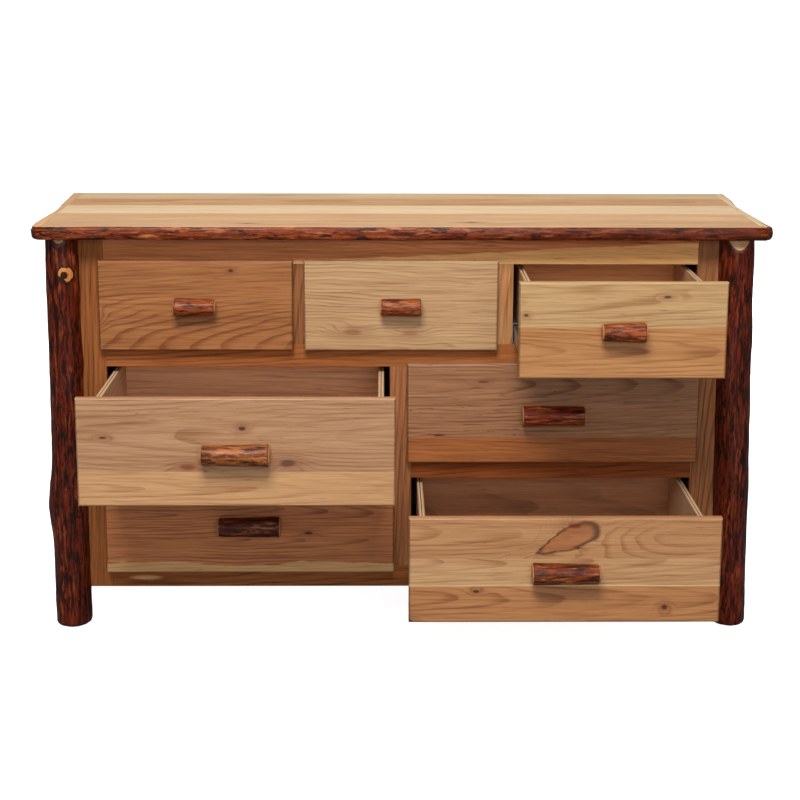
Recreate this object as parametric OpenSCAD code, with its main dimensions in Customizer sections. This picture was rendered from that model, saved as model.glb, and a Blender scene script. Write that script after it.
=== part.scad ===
// Seven-drawer log dresser: a plank top with live bark edges, four bark log posts, a pine face
// frame, and overlay drawers in plywood boxes on ball-bearing slides.
// X runs to the right, Y into the dresser and Z up. Z = 0 is the floor.

/* [Overall] */
// Height of the dresser, floor to the top's upper face
dresser_h = 908; // [880:1:960]
// Width of the top across its bark ends, at the front
top_w = 1572; // [1568:1:1620]
// How much further each end of the top reaches at the back
end_flare = 15.6; // [0:0.1:24]
// Thickness of the top
top_t = 30; // [24:1:36]
// Overhang of the top in front of the closed drawer fronts
top_overhang = 39; // [30:1:50]
// Distance from the closed drawer fronts back to the top's rear edge
top_back = 510; // [500:1:560]

/* [Face frame] */
// Height of the frame's lower edge above the floor
foot_h = 82; // [60:1:120]
// Height of the rails between the drawers
rail_h = 50; // [40:1:60]
// Height of the top rail
top_rail_h = 60; // [50:1:80]
// Width across all the drawer fronts of a row
front_span = 1308; // [1280:4:1320]
// Gap between the fronts in the top row
top_gap = 24; // [22:1:32]
// Gap between the fronts in the lower rows
low_gap = 28; // [26:1:36]
// How far a drawer front covers the frame on each side
overlay = 10; // [6:1:10]
// Thickness of the face frame
frame_t = 20; // [18:1:22]

/* [Drawers] */
// Thickness of a drawer front
front_t = 19; // [16:1:19]
// Bevel around a drawer front's face
front_bevel = 4; // [2:1:6]
// Thickness of the plywood of the drawer boxes
ply_t = 12; // [10:1:14]
// Outer length of a drawer box
box_l = 410; // [400:1:412]
// Height of a drawer front's top above its box's top edge
box_drop = 24; // [18:1:30]
// Share of the opening height in the top row, the lower rows being equal
top_open_h = 178; // [170:1:190]
// How far the middle left drawer stands open
open_middle_left = 292; // [0:1:400]
// How far the bottom right drawer stands open
open_bottom_right = 282; // [0:1:400]
// How far the top right drawer stands open
open_top_right = 248; // [0:1:400]

/* [Slides] */
// Length of a drawer slide
slide_l = 406; // [380:1:406]
// Height of a drawer slide
slide_h = 45; // [40:1:45]
// Gap between a drawer box and its opening on each side
slide_gap = 13; // [13:0.5:15]
// Thickness of the slides' steel
steel_t = 1.2; // [1:0.1:1.4]

/* [Posts] */
// Diameter of an ordinary log post
post_d = 74; // [70:1:78]
// Distance of the posts' axes from the middle of the dresser
post_x = 730; // [728:1:734]
// Distance of the front posts' axes behind the closed drawer fronts
front_post_y = 17; // [14:1:20]
// Distance of the rear posts' axes behind the closed drawer fronts
rear_post_y = 455; // [450:1:460]

/* [Pulls] */
// Length of the pulls on the top row
small_pull_l = 90; // [80:1:100]
// Length of the pulls on the lower rows
large_pull_l = 139; // [120:1:150]
// Diameter of the log that a pull of the top row is cut from
small_pull_d = 39; // [36:1:42]
// Diameter of the log that a pull of the lower rows is cut from
large_pull_d = 44; // [40:1:48]

/* [Hidden] */
$fn = 72;
EPS = 0.01;
// Width of a glue line
GLUE = 0.1;

DRAWERS = ["top_left", "top_middle", "top_right",
           "middle_left", "middle_right", "bottom_left", "bottom_right"];
CASE_NODES = ["top_boards", "top_front_edge", "top_left_edge", "top_right_edge",
              "front_left_post", "front_right_post", "rear_left_post", "rear_right_post",
              "left_side_panel", "right_side_panel", "back_panel",
              "left_stile", "right_stile", "centre_stile", "top_dividers",
              "top_rail", "upper_rail", "middle_rails", "bottom_rail",
              "partitions", "dust_panels", "slide_cleats", "case_slides",
              "top_cleats", "top_screws"];
DRAWER_PARTS = ["front", "box", "pull", "runners", "mid_slides"];

// Heights: the top's underside and, for the top, middle and bottom rows, each opening
case_top = dresser_h - top_t;
low_open_h = (case_top - top_rail_h - top_open_h - foot_h - 3 * rail_h) / 2;
open_h = [top_open_h, low_open_h, low_open_h];
open_z = [foot_h + 3 * rail_h + 2 * low_open_h, foot_h + 2 * rail_h + low_open_h, foot_h + rail_h];

// Widths of the fronts and of the frame's openings
top_front_w = (front_span - 2 * top_gap) / 3;
low_front_w = (front_span - low_gap) / 2;
open_edge = front_span / 2 - overlay;
divider_x = (top_front_w + top_gap) / 2;
divider_w = top_gap + 2 * overlay;
centre_w = low_gap + 2 * overlay;

// Depths, counted back from the faces of the closed drawer fronts
frame_y = front_t + 1;
inside_y = frame_y + frame_t;
panel_t = 16;
panel_x = 700;
back_t = 8;
back_y = 446;
shelf_t = 18;
cleat_l = 384;
cleat_h = 58;
// What clears the round posts: the dust panels' half width, and the cleats' set-back
dust_x = 690;
cleat_y = inside_y + 4;

// The frame's origin is the middle of the dresser's footprint as it stands, drawers open
pull_reach = large_pull_d * 0.9;
most_open = max(open_middle_left, open_bottom_right, open_top_right);
face_y = (most_open + pull_reach - top_back) / 2;

// The top's planks, from the front strip's rear edge to the back
PLANK_Y = [-18, 53, 162, 293, 409, top_back];
rim_in_front = 764;
rim_in_back = 776;

// Colours
PINE = [0.78, 0.58, 0.38];
PALE_PINE = [0.86, 0.72, 0.5];
BARK = [0.36, 0.15, 0.09];
PLY = [0.8, 0.66, 0.5];
STEEL = [0.72, 0.72, 0.74];

// Row of a drawer, counted from the top
function row(i) = i < 3 ? 0 : i < 5 ? 1 : 2;
// Middle of a drawer across the dresser
function drawer_x(i) = i < 3 ? (i - 1) * (top_front_w + top_gap)
                             : ((i % 2 == 1) ? -1 : 1) * (low_front_w + low_gap) / 2;
function front_w(i) = row(i) == 0 ? top_front_w : low_front_w;
function opening_w(i) = front_w(i) - 2 * overlay;
function pull_l(i) = row(i) == 0 ? small_pull_l : large_pull_l;
function pull_d(i) = row(i) == 0 ? small_pull_d : large_pull_d;
// How far a drawer stands open
function drawn(i) = i == 2 ? open_top_right : i == 3 ? open_middle_left
                  : i == 6 ? open_bottom_right : 0;

// Half width of the top at a depth: nearly straight, swelling a little, and flared at the back
function end_t(y) = (y + top_overhang) / (top_back + top_overhang);
function end_x(y, swell) = top_w / 2 + end_flare * pow(end_t(y), 3)
                         + 3 * sin(180 * 3 * end_t(y)) + swell * sin(180 * 4 * end_t(y));
// Inner edge of the bark strip on each end
function rim_x(y) = rim_in_front + (rim_in_back - rim_in_front) * end_t(y);

// Moves what is measured from the closed drawer fronts into the dresser's own frame
module at_face() { translate([0, face_y, 0]) children(); }

// A board between two opposite corners
module board(low, high) { translate(low) cube(high - low); }

// An outline extruded upwards from a height
module slab(z, h) { translate([0, 0, z]) linear_extrude(h) children(); }

// The same board on the left and on the right
module both_sides() {
    children();
    mirror([1, 0, 0]) children();
}

// ---- Top ----

module top_screw_places() {
    for (x = [-435, 0, 435], dx = [-60, 60], y = [inside_y + 10, back_y - 10])
        translate([x + dx, y, 0]) children();
}

module top_boards() color(PALE_PINE) at_face() difference() {
    for (k = [0 : len(PLANK_Y) - 2]) {
        y0 = PLANK_Y[k];
        y1 = PLANK_Y[k + 1];
        slab(case_top, top_t)
            polygon([[-rim_x(y0), y0], [rim_x(y0), y0], [rim_x(y1), y1], [-rim_x(y1), y1]]);
    }
    top_screw_places() translate([0, 0, case_top - EPS]) cylinder(h = 20.2, d = 4.2);
}

// Front strip of the top, with a bark face and round corners
module top_front_edge() color(BARK) at_face() {
    y_in = PLANK_Y[0];
    corner_r = y_in + top_overhang;
    x_end = end_x(y_in, 0);
    slab(case_top, top_t) polygon(concat(
        [for (a = [0 : 15 : 90])
            [x_end - corner_r + corner_r * cos(a), y_in - corner_r * sin(a)]],
        [for (a = [90 : -15 : 0])
            [-x_end + corner_r - corner_r * cos(a), y_in - corner_r * sin(a)]]));
}

// Bark strip on the right end of the top: swell makes each end a little different
module end_strip(swell) {
    steps = 14;
    y_in = PLANK_Y[0];
    slab(case_top, top_t) polygon(concat(
        [for (k = [0 : steps])
            let (y = y_in + (top_back - y_in) * k / steps) [k == 0 ? end_x(y, 0) : end_x(y, swell), y]],
        [[rim_x(top_back), top_back], [rim_x(y_in), y_in]]));
}

module top_left_edge() color(BARK) at_face() mirror([1, 0, 0]) end_strip(1.5);
module top_right_edge() color(BARK) at_face() end_strip(-1);

module top_cleats() color(PINE) at_face() difference() {
    for (x = [-435, 0, 435], y = [inside_y, back_y - 20])
        board([x - 95, y, case_top - 20], [x + 95, y + 20, case_top]);
    top_screw_places() translate([0, 0, case_top - 20 - EPS]) cylinder(h = 20 + 2 * EPS, d = 4.2);
}

module top_screws() color(STEEL) at_face() top_screw_places() {
    translate([0, 0, case_top - 22]) cylinder(h = 2, d = 8);
    translate([0, 0, case_top - 20]) cylinder(h = 40, d = 4);
}

// ---- Log posts ----

// A post with an eased foot. facet is the width of the flat that is cut on its upper front
module post(d_foot, d_head, facet) {
    ease = 4;
    facet_h = 24;
    r = d_head / 2;
    sagitta = r - sqrt(r * r - facet * facet / 4);
    difference() {
        union() {
            cylinder(h = ease, d1 = d_foot - 2 * ease, d2 = d_foot);
            translate([0, 0, ease]) cylinder(h = case_top - ease, d1 = d_foot, d2 = d_head);
        }
        if (facet > 0)
            translate([0, -r, case_top - facet_h]) rotate([-atan(sagitta / facet_h), 0, 0])
                translate([-r, -2 * r, 0]) cube([2 * r, 2 * r, 2 * facet_h]);
    }
}

// What the front right post is notched for: its stile and its side panel's front edge
module front_joinery() { stile_solid(); side_panel_solid(); }
// What the rear right post is grooved for
module rear_joinery() { side_panel_solid(); back_panel_solid(); }

module front_right_post() color(BARK) at_face() difference() {
    translate([post_x, front_post_y, 0]) post(post_d + 2, post_d, 44);
    front_joinery();
}
module front_left_post() color(BARK) at_face() difference() {
    translate([-post_x, front_post_y, 0]) post(post_d + 4, post_d - 4, 28);
    mirror([1, 0, 0]) front_joinery();
}
module rear_post() difference() {
    translate([post_x, rear_post_y, 0]) post(post_d + 1, post_d, 0);
    rear_joinery();
}
module rear_right_post() color(BARK) at_face() rear_post();
module rear_left_post() color(BARK) at_face() mirror([1, 0, 0]) rear_post();

// ---- Panels ----

module side_panel_solid() {
    board([panel_x, inside_y, foot_h], [panel_x + panel_t, back_y - 14, case_top]);
}
module back_panel_solid() {
    board([-panel_x - 4, back_y, foot_h], [panel_x + 4, back_y + back_t, case_top]);
}
module left_side_panel() color(PINE) at_face() mirror([1, 0, 0]) side_panel_solid();
module right_side_panel() color(PINE) at_face() side_panel_solid();
module back_panel() color(PLY) at_face() back_panel_solid();

// Upright boards that carry the slides between the drawers
module partitions() color(PINE) at_face() {
    both_sides() board([divider_x - 9, inside_y, open_z[0] - 2], [divider_x + 9, back_y, case_top - 20]);
    for (r = [1, 2])
        board([-9, inside_y, open_z[r] - 2], [9, back_y, open_z[r - 1] - 2 - shelf_t]);
}

// One board under each row of drawers
module dust_panels() color(PLY) at_face() for (z = open_z)
    board([-dust_x, inside_y, z - 2 - shelf_t], [dust_x, back_y, z - 2]);

// ---- Face frame ----

module frame_board(x0, x1, z0, z1) { board([x0, frame_y, z0], [x1, inside_y, z1]); }
module stile_solid() { frame_board(open_edge, panel_x + 2, foot_h, case_top); }
module left_stile() color(PINE) at_face() mirror([1, 0, 0]) stile_solid();
module right_stile() color(PINE) at_face() stile_solid();
module centre_stile() color(PINE) at_face()
    frame_board(-centre_w / 2, centre_w / 2, foot_h + rail_h, open_z[0] - rail_h);
module top_dividers() color(PINE) at_face() both_sides()
    frame_board(divider_x - divider_w / 2, divider_x + divider_w / 2, open_z[0], open_z[0] + open_h[0]);
module top_rail() color(PINE) at_face()
    frame_board(-open_edge, open_edge, case_top - top_rail_h, case_top);
module upper_rail() color(PINE) at_face()
    frame_board(-open_edge, open_edge, open_z[0] - rail_h, open_z[0]);
module middle_rails() color(PINE) at_face() both_sides()
    frame_board(centre_w / 2, open_edge, open_z[1] - rail_h, open_z[1]);
module bottom_rail() color(PINE) at_face()
    frame_board(-open_edge, open_edge, foot_h, foot_h + rail_h);

// ---- Slides: each is three steel channels, on the case, in the middle and on the drawer ----

// A channel on the plane x = 0 with its flanges towards +X
module channel(h, reach, y0, y1) {
    board([0, y0, -h / 2], [steel_t, y1, h / 2]);
    for (z = [-h / 2, h / 2 - steel_t])
        board([steel_t - EPS, y0, z], [reach, y1, z + steel_t]);
}

// Puts a slide's parts at the left and at the right edge of a drawer's opening
module slide_places(i) {
    z = open_z[row(i)] + 2 + slide_h / 2;
    translate([drawer_x(i), 0, z]) both_sides()
        translate([-opening_w(i) / 2, 0, 0]) children();
}

module case_slides() color(STEEL) at_face() for (i = [0 : len(DRAWERS) - 1])
    slide_places(i) channel(slide_h, 9.6, frame_y + 2, frame_y + 2 + slide_l);

// Blocks that bring the slides out to the edges of the openings
module slide_cleats() color(PINE) at_face() for (i = [0 : len(DRAWERS) - 1]) {
    z = open_z[row(i)] - 2;
    half = opening_w(i) / 2;
    for (side = [-1, 1]) {
        edge = drawer_x(i) + side * half;
        out = abs(edge) > open_edge - 1 ? panel_x - open_edge
            : row(i) == 0 ? divider_w / 2 - 9 : centre_w / 2 - 9;
        board([min(edge, edge + side * out), cleat_y, z],
              [max(edge, edge + side * out), cleat_y + cleat_l, z + cleat_h]);
    }
}

module mid_slides(i) color(STEEL) at_face() translate([0, -drawn(i) / 2, 0])
    slide_places(i) translate([3.4, 0, 0])
        channel(slide_h - 11, 7, frame_y + 2, frame_y + 2 + slide_l);

module runners(i) color(STEEL) at_face() translate([0, -drawn(i), 0])
    slide_places(i) translate([slide_gap, 0, 0]) mirror([1, 0, 0])
        channel(slide_h - 23, 7, frame_y, frame_y + slide_l);

// ---- Drawers ----

// Moves the parts of a drawer to where it stands
module drawer_at(i) {
    at_face() translate([drawer_x(i), -drawn(i), open_z[row(i)]]) children();
}

// The two places where the screws of a pull cross the front
module pull_screw_places(i) {
    for (x = [-0.27, 0.27] * pull_l(i))
        translate([x, 0, open_h[row(i)] / 2]) rotate([90, 0, 0]) children();
}

module drawer_front(i) color(PINE) drawer_at(i) difference() {
    w = front_w(i);
    z0 = -overlay;
    z1 = open_h[row(i)] + overlay;
    b = front_bevel;
    intersection() {
        translate([0, 0, z0]) linear_extrude(z1 - z0)
            polygon([[-w / 2, b], [-w / 2 + b, 0], [w / 2 - b, 0], [w / 2, b],
                     [w / 2, front_t], [-w / 2, front_t]]);
        translate([-w / 2, 0, 0]) rotate([90, 0, 90]) linear_extrude(w)
            polygon([[b, z0], [front_t, z0], [front_t, z1], [b, z1], [0, z1 - b], [0, z0 + b]]);
    }
    pull_screw_places(i) cylinder(h = 3 * front_t, d = 4.2, center = true);
}

// Two sides with the front and back boards between them, around a grooved-in bottom. The boards
// are a glue line apart, so that each stays a piece of its own
module drawer_box(i) color(PLY) drawer_at(i) {
    half = opening_w(i) / 2 - slide_gap;
    inner = half - ply_t;
    z0 = 12;
    z1 = open_h[row(i)] + overlay - box_drop;
    y0 = front_t;
    y1 = front_t + box_l;
    groove_d = 6;
    floor_low = [-inner - groove_d, y0 + ply_t - groove_d, z0 + 10];
    floor_high = [inner + groove_d, y1 - ply_t + groove_d, z0 + 16];
    difference() {
        union() {
            both_sides() board([half - ply_t, y0, z0], [half, y1, z1]);
            for (y = [y0, y1 - ply_t])
                board([-inner + GLUE, y, z0], [inner - GLUE, y + ply_t, z1]);
        }
        board(floor_low, floor_high);
        pull_screw_places(i) cylinder(h = 5 * front_t, d = 4.2, center = true);
    }
    board(floor_low + GLUE * [1, 1, 1], floor_high - GLUE * [1, 1, 1]);
}

// A length of bark log, flat at the back, with its two screws
module pull(i) drawer_at(i) {
    d = pull_d(i);
    l = pull_l(i);
    ease = 4;
    screw_l = 48;
    screw_y = front_t + ply_t;
    color(BARK) difference() {
        translate([0, -0.4 * d, open_h[row(i)] / 2]) rotate([0, 90, 0]) {
            cylinder(h = l - 2 * ease, d = d, center = true);
            both_ends() translate([0, 0, l / 2 - ease]) cylinder(h = ease, d1 = d, d2 = d - 2 * ease);
        }
        board([-l, 0, 0], [l, d, 2 * open_h[0]]);
        pull_screw_places(i) cylinder(h = screw_l - screw_y + 0.2, d = 4.2);
    }
    color(STEEL) translate([0, screw_y, 0]) pull_screw_places(i) {
        cylinder(h = screw_l, d = 4);
        translate([0, 0, -2]) cylinder(h = 2, d = 9);
    }
}

module both_ends() {
    children();
    mirror([0, 0, 1]) children();
}

// ---- The dresser ----

top_boards();
top_front_edge();
top_left_edge();
top_right_edge();
front_left_post();
front_right_post();
rear_left_post();
rear_right_post();
left_side_panel();
right_side_panel();
back_panel();
left_stile();
right_stile();
centre_stile();
top_dividers();
top_rail();
upper_rail();
middle_rails();
bottom_rail();
partitions();
dust_panels();
slide_cleats();
case_slides();
top_cleats();
top_screws();
for (i = [0 : len(DRAWERS) - 1]) {
    drawer_front(i);
    drawer_box(i);
    pull(i);
    runners(i);
    mid_slides(i);
}
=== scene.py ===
"""Looks of a seven-drawer log dresser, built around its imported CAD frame."""

import logging
import math
import random
from dataclasses import dataclass, replace
from enum import Enum
from typing import Callable, Iterable

import bpy
from mathutils import Matrix, Vector, noise


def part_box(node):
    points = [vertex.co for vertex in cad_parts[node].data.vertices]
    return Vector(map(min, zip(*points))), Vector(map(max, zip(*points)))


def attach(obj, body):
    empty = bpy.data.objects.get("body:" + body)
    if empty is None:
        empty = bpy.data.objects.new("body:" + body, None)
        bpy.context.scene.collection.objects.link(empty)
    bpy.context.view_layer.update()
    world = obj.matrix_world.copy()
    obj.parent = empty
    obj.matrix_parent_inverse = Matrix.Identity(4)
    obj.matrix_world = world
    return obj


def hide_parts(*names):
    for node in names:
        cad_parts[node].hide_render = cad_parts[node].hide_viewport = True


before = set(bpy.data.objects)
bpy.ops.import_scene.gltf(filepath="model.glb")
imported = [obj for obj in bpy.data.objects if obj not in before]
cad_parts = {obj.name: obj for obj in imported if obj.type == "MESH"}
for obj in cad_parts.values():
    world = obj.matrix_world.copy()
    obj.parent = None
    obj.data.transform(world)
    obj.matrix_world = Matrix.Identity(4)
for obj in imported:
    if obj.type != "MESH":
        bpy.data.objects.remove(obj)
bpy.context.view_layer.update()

LOG = logging.getLogger("dresser")
MM = 0.001

PLY = 0.012
VENEERS = 5
BOX_FLOOR = (0.0101, 0.0159)
FRONT_ROUND = 0.0048
BACK_ROUND = 0.0008
BLOTCH_SHARE = 0.325
RING_SHARE = 1.4
STREAK_SHARE = 1.2
HEARTWOOD_LINE = "34150c"
KNOT_HALO = "7c4020"
PORE = "3c2012"
BARK_SCALE = "120603"

Colour = tuple[float, float, float]


def srgb(text: str) -> Colour:
    """Linear colour of a web colour such as b98d63."""
    values = [int(text[k:k + 2], 16) / 255 for k in (0, 2, 4)]
    return tuple(v / 12.92 if v < 0.04045 else ((v + 0.055) / 1.055) ** 2.4 for v in values)


def shaded(text: str, share: float) -> str:
    """A web colour, darker by a share."""
    return "".join(f"{round(int(text[k:k + 2], 16) * share):02x}" for k in (0, 2, 4))


# Shader graphs


class Value:
    """An output socket whose operators add Math nodes to its graph."""

    def __init__(self, graph: "Graph", socket: bpy.types.NodeSocket) -> None:
        """Wraps a socket.

        Args:
            graph: the graph that the socket's node is in.
            socket: the output socket.
        """
        self.graph = graph
        self.socket = socket

    def math(self, operation: str, *others: "Value | float") -> "Value":
        """The result of a Math node whose first input is this value."""
        inputs = dict(enumerate((self, *others)))
        return self.graph.node("ShaderNodeMath", {"operation": operation}, inputs)

    def __add__(self, other: "Value | float") -> "Value":
        """Sum."""
        return self.math("ADD", other)

    __radd__ = __add__

    def __mul__(self, other: "Value | float") -> "Value":
        """Product."""
        return self.math("MULTIPLY", other)

    __rmul__ = __mul__

    def __sub__(self, other: "Value | float") -> "Value":
        """Difference."""
        return self.math("SUBTRACT", other)

    def __rsub__(self, other: float) -> "Value":
        """Difference from a number."""
        return self.math("MULTIPLY_ADD", -1.0, other)

    def __truediv__(self, other: "Value | float") -> "Value":
        """Quotient."""
        return self.math("DIVIDE", other)

    def __pow__(self, other: "Value | float") -> "Value":
        """Power."""
        return self.math("POWER", other)

    def step(self, low: float, high: float, to_low: float = 0.0, to_high: float = 1.0) -> "Value":
        """A smooth step between two values.

        Args:
            low: where the step starts.
            high: where it ends.
            to_low: the result at its start.
            to_high: the result at its end.

        Returns:
            The stepped value, held outside the two limits.
        """
        return self.graph.node(
            "ShaderNodeMapRange", {"interpolation_type": "SMOOTHSTEP"},
            {"Value": self, "From Min": low, "From Max": high, "To Min": to_low, "To Max": to_high})


class Graph:
    """A material's or world's node tree, empty at first."""

    def __init__(self, owner: bpy.types.Material | bpy.types.World) -> None:
        """Empties a node tree.

        Args:
            owner: the material or world whose tree it is.
        """
        self.owner = owner
        owner.use_nodes = True
        self.tree = owner.node_tree
        self.tree.nodes.clear()

    def node(self, kind: str, settings: dict | None = None, values: dict | None = None,
             output: str | int = 0) -> Value:
        """Adds a node.

        Args:
            kind: the node's type.
            settings: its properties, set first; stops are a colour ramp's places and colours.
            values: numbers, colours or values for its sockets, by name or index.
            output: the output that is returned.

        Returns:
            That output.
        """
        node = self.tree.nodes.new(kind)
        for key, value in (settings or {}).items():
            if key == "stops":
                self.fill_ramp(node.color_ramp, value)
            else:
                setattr(node, key, value)
        for key, value in (values or {}).items():
            if isinstance(value, Value):
                self.tree.links.new(value.socket, node.inputs[key])
            else:
                node.inputs[key].default_value = value
        return Value(self, node.outputs[output] if node.outputs else None)

    @staticmethod
    def fill_ramp(ramp: bpy.types.ColorRamp, stops: Iterable[tuple[float, Colour]]) -> None:
        """Gives a colour ramp its stops."""
        for index, (place, colour) in enumerate(stops):
            stop = ramp.elements[index] if index < 2 else ramp.elements.new(place)
            stop.position = place
            stop.color = (*colour, 1.0)

    def place(self, order: str, offset: tuple[float, float, float]) -> Value:
        """Object coordinates put in another order, moved by an offset.

        Args:
            order: three of X, Y and Z, such as ZXY for wood whose grain runs upwards.
            offset: what is added to the reordered coordinates.

        Returns:
            The vector.
        """
        where = self.node("ShaderNodeTexCoord", output="Object")
        split = self.node("ShaderNodeSeparateXYZ", values={0: where}).socket.node
        parts = {k: Value(self, split.outputs[axis]) + o
                 for k, (axis, o) in enumerate(zip(order, offset))}
        return self.node("ShaderNodeCombineXYZ", values=parts)

    def parts(self, vector: Value) -> list[Value]:
        """A vector's three parts."""
        split = self.node("ShaderNodeSeparateXYZ", values={0: vector}).socket.node
        return [Value(self, out) for out in split.outputs]

    def vector(self, x: Value | float, y: Value | float, z: Value | float) -> Value:
        """A vector of three parts."""
        return self.node("ShaderNodeCombineXYZ", values={0: x, 1: y, 2: z})

    def scaled(self, vector: Value, scale: tuple[float, float, float]) -> Value:
        """A vector times another, part by part."""
        return self.node("ShaderNodeVectorMath", {"operation": "MULTIPLY"}, {0: vector, 1: scale})

    def noise(self, vector: Value, scale: tuple[float, float, float], detail: float = 2.0,
              rough: float = 0.5) -> Value:
        """Noise from 0 to 1.

        Args:
            vector: where.
            scale: features per metre along each part.
            detail: octaves.
            rough: how strong the finer octaves are.

        Returns:
            The noise.
        """
        return self.node("ShaderNodeTexNoise", {}, {
            "Vector": self.scaled(vector, scale), "Scale": 1.0, "Detail": detail,
            "Roughness": rough})

    def mix(self, factor: Value | float, a: Value | Colour, b: Value | Colour,
            blend: str = "MIX") -> Value:
        """Mixes two colours.

        Args:
            factor: share of the second.
            a: the first.
            b: the second.
            blend: how they are blended.

        Returns:
            The mixed colour.
        """
        colours = [c if isinstance(c, Value) else (*c, 1.0) for c in (a, b)]
        return self.node(
            "ShaderNodeMix", {"data_type": "RGBA", "blend_type": blend, "clamp_factor": True},
            {0: factor, 6: colours[0], 7: colours[1]}, output=2)

    def finish(self, colour: Value, roughness: Value | float, height: Value | None = None,
               bump: float = 0.0, coat: float = 0.0, coat_rough: float = 0.2,
               metallic: float = 0.0, specular: float = 0.3) -> bpy.types.Material:
        """Ends the graph with a Principled shader.

        Args:
            colour: base colour.
            roughness: roughness.
            height: relief, in metres, for a Bump node.
            bump: that node's strength.
            coat: weight of the clear coat.
            coat_rough: roughness of the clear coat.
            metallic: metallic.
            specular: specular level.

        Returns:
            The material.
        """
        values = {"Base Color": colour, "Roughness": roughness, "Coat Weight": coat,
                  "Coat Roughness": coat_rough, "Metallic": metallic,
                  "Specular IOR Level": specular}
        if height is not None:
            values["Normal"] = self.node("ShaderNodeBump", {}, {
                "Height": height, "Strength": bump, "Distance": 1.0})
        shader = self.node("ShaderNodeBsdfPrincipled", {}, values)
        self.node("ShaderNodeOutputMaterial", {}, {"Surface": shader})
        return self.owner


# Finishes


class Grain(Enum):
    """Which way a board's grain runs, then its width and then its thickness."""

    ACROSS = "XZY"
    UPRIGHT = "ZXY"
    FLAT = "XYZ"
    SIDE_UPRIGHT = "ZYX"
    DEEP = "YZX"


@dataclass(frozen=True)
class Knot:
    """A knot in a board, placed along and across its grain in the row frame.

    Where outline is above 0 it is a leaf-shaped figure with a dark line round it.
    """

    along: float
    across: float
    radius: float
    colour: str = "2e130a"
    stretch: float = 1.6
    strength: float = 0.9
    turn: float = 0.0
    outline: float = 0.0


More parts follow.
